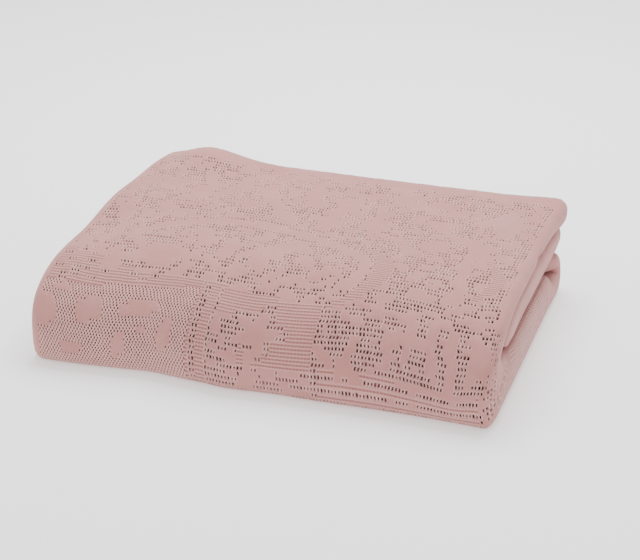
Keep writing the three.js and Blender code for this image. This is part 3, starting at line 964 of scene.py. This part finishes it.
# %% Cotton: cell coordinates and weave masks
RIBS_PER_ROW = 1.5
cells = node("ShaderNodeUVMap", uv_map="cells").outputs[0]
split = node("ShaderNodeSeparateXYZ", (cells,)).outputs
across, along = split[0], split[1]
in_x, in_y = maths("FRACT", across), maths("FRACT", along)
weave = node("ShaderNodeAttribute", attribute_name="weave").outputs["Fac"]
rim = node("ShaderNodeAttribute", attribute_name="rim").outputs["Fac"]
thread = node("ShaderNodeAttribute", attribute_name="thread").outputs["Fac"]
off_x = maths("ABSOLUTE", maths("SUBTRACT", in_x, 0.5))
off_y = maths("ABSOLUTE", maths("SUBTRACT", in_y, 0.5))
print("marks read by the material: weave, rim, thread")

# %% Cotton: what the weaves draw, each from 0 to 1
# Uncut eyelet and net squares get dark dots of painted shade where a hole would be
dot = maths("SUBTRACT", 1.0, step(maths("MAXIMUM", off_x, off_y), 0.2, 0.32))
dot = maths("MULTIPLY", dot, is_weave(EYELET))
lace = wave(maths("ADD", across, along), 1)
lace = maths("MULTIPLY", lace, wave(maths("SUBTRACT", across, along), 1))
lace = maths("MULTIPLY", step(lace, 0.45, 0.75), is_weave(NET))
hole = maths("MAXIMUM", dot, lace)
# Painted highlight beside every eyelet, on the thread between neighbours in a row
thread_highlight = maths("SUBTRACT", 1.0, step(off_y, 0.2, 0.42))
thread_highlight = maths("MULTIPLY", step(off_x, 0.24, 0.4), thread_highlight)
eyelet = maths("MULTIPLY_ADD", is_weave(EYELET), 0.3, is_weave(EYELET + CUT))
thread_highlight = maths("MULTIPLY", thread_highlight, eyelet)
# No two threads are equally light
whole_x, whole_y = maths("FLOOR", maths("ADD", across, 0.5)), maths("FLOOR", along)
cell = node("ShaderNodeCombineXYZ", (whole_x, whole_y)).outputs[0]
own = node("ShaderNodeTexWhiteNoise", (cell,)).outputs[0]
thread_highlight = maths("MULTIPLY", thread_highlight, maths("MULTIPLY_ADD", own, 0.75, 0.25))
# Painted highlight on the threads of cut net
net_highlight = maths("MULTIPLY", thread, is_weave(NET + CUT))
# A weaker painted highlight over every eyelet square
open_cell = maths("MAXIMUM", is_weave(EYELET), is_weave(EYELET + CUT))
# Ribs: painted shade in the grooves and a painted highlight on the ridges
groove = step(wave(along, RIBS_PER_ROW), 0.35, 0.8)
groove = maths("MULTIPLY", groove, maths("SUBTRACT", 1.0, step(off_x, 0.3, 0.5)))
groove = maths("MULTIPLY", groove, is_weave(RIB))
ridge = maths("SUBTRACT", 1.0, step(wave(along, RIBS_PER_ROW), 0.1, 0.5))
ridge = maths("MULTIPLY", ridge, is_weave(RIB))
# Twill: slanting lines, painted darker as shade where they lie low
slant = maths("MULTIPLY", wave(maths("MULTIPLY_ADD", across, 0.75, along), 1), is_weave(TWILL))
yarn = maths("MULTIPLY", wave(across, 5), wave(along, 6))
print("nodes that draw the weaves:", len(nodes))

# %% Cotton: colour, one coat after the other
place = node("ShaderNodeTexCoord").outputs["Object"]
cloudy = node("ShaderNodeTexNoise", (place, None, 22.0, 3.0, 0.6)).outputs[0]
fuzz = node("ShaderNodeTexNoise", (place, None, 900.0, 2.0, 0.5)).outputs[0]
# Painted highlight: what light comes through, and how much lighter that makes it
LIT = [(thread_highlight, 0.9), (net_highlight, 0.4), (open_cell, 0.24), (is_weave(TWILL), 0.16)]
painted_highlight = 0.0
for share, strength in LIT:
    painted_highlight = maths("MAXIMUM", painted_highlight, maths("MULTIPLY", share, strength))
# Where a coat goes, how strongly it covers, and its colour. After the fine yarn come painted
# highlights and painted shade: light threads and rib ridges, then rib grooves, twill lines, dots
# for uncut holes, the layer below the eyelets and hole rims.
COATS = [
    (yarn, 0.22, ROSE_SHADE),
    (painted_highlight, 1.0, ROSE_HIGHLIGHT),
    (ridge, 0.2, ROSE_HIGHLIGHT),
    (groove, 0.8, ROSE_SHADE),
    (slant, 0.45, ROSE_SHADE),
    (hole, 0.55, ROSE_DEEP_SHADE),
    (is_weave(BELOW), 0.5, ROSE_DEEP_SHADE),
    (rim, 0.85, ROSE_DEEP_SHADE),
]
colour = blend(step(cloudy, 0.2, 0.8), ROSE, ROSE_LIGHT)
for share, strength, coat in COATS:
    colour = blend(maths("MULTIPLY", share, strength), colour, coat)
print("coats of colour:", len(COATS))

# %% Cotton: relief and surface
# What stands up or lies low, and by how much
RELIEF = [(yarn, 0.35), (groove, -1.2), (slant, -0.6), (hole, -2.0)]
height = maths("MULTIPLY", fuzz, 0.35)
for share, rise in RELIEF:
    height = maths("MULTIPLY_ADD", share, rise, height)
bump = node("ShaderNodeBump", (0.8, 0.0005, None, height))
shader = node("ShaderNodeBsdfPrincipled")
shader.inputs["Roughness"].default_value = 0.95
shader.inputs["Specular IOR Level"].default_value = 0.12
shader.inputs["Sheen Weight"].default_value = 0.25
shader.inputs["Sheen Roughness"].default_value = 0.6
links.new(colour, shader.inputs["Base Color"])
links.new(bump.outputs[0], shader.inputs["Normal"])
output = node("ShaderNodeOutputMaterial", (shader.outputs[0],))
flat.materials.append(cotton)
print("cotton:", len(nodes), "nodes,", len(links), "links")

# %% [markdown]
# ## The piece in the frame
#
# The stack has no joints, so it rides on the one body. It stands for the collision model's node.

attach(blanket, "root")
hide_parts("blanket")

# %% [markdown]
# ## The studio
#
# A pale floor, one big soft light above and a little behind, and a weak one at the left. The top of
# the stack is then the brightest face and the front falls off softly to the right, as in the
# photograph.

# %% Floor
ground_mesh = bmesh.new()
bmesh.ops.create_grid(ground_mesh, x_segments=1, y_segments=1, size=6)
floor_mesh = bpy.data.meshes.new("floor")
ground_mesh.to_mesh(floor_mesh)
ground_mesh.free()
floor = bpy.data.objects.new("floor", floor_mesh)
bpy.context.scene.collection.objects.link(floor)
paper = bpy.data.materials.new("paper")
paper.use_nodes = True
paper_shader = paper.node_tree.nodes["Principled BSDF"]
paper_shader.inputs["Base Color"].default_value = (0.9, 0.9, 0.9, 1)
paper_shader.inputs["Roughness"].default_value = 0.9
paper_shader.inputs["Emission Color"].default_value = (1, 1, 1, 1)
paper_shader.inputs["Emission Strength"].default_value = 0.5
floor_mesh.materials.append(paper)
print("floor:", len(floor_mesh.polygons), "face")

# %% Lights: name, place, size and power
LIGHTS = [
    ("key", (-0.05, 0.65, 1.4), 1.1, 34),
    ("fill", (-1.5, -1.0, 0.8), 1.2, 4),
]
for name, place_m, size_m, power in LIGHTS:
    lamp = bpy.data.lights.new(name, "AREA")
    lamp.size = size_m
    lamp.energy = power
    lit = bpy.data.objects.new(name, lamp)
    lit.location = place_m
    towards = -np.array(place_m) + [0, 0, 0.04]
    lit.rotation_mode = "QUATERNION"
    lit.rotation_quaternion = Vector(towards).to_track_quat("-Z", "Y")
    bpy.context.scene.collection.objects.link(lit)
print("lights:", [name for name, *_ in LIGHTS])

# %% Sky
sky = bpy.data.worlds.new("sky")
bpy.context.scene.world = sky
sky.use_nodes = True
background = sky.node_tree.nodes["Background"]
background.inputs[0].default_value = (1, 1, 1, 1)
background.inputs[1].default_value = 1.1
print("sky strength:", round(background.inputs[1].default_value, 2))

# %% [markdown]
# ## The camera
#
# The photograph was taken from the right of the front and from above, with a long lens.

# %% Camera
AZIMUTH, ELEVATION, DISTANCE = math.radians(18.65), math.radians(25.2), 1.616
TARGET = Vector((0.0074, 0.01444, 0.04))
back = Vector((
    math.sin(AZIMUTH) * math.cos(ELEVATION),
    -math.cos(AZIMUTH) * math.cos(ELEVATION),
    math.sin(ELEVATION),
))
camera_data = bpy.data.cameras.new("camera")
camera_data.lens = 90
camera_data.sensor_width = 36
camera = bpy.data.objects.new("camera", camera_data)
camera.location = TARGET + back * DISTANCE
camera.rotation_mode = "QUATERNION"
camera.rotation_quaternion = (-back).to_track_quat("-Z", "Y")
bpy.context.scene.collection.objects.link(camera)
bpy.context.scene.camera = camera
print("camera at", [round(c, 3) for c in camera.location])
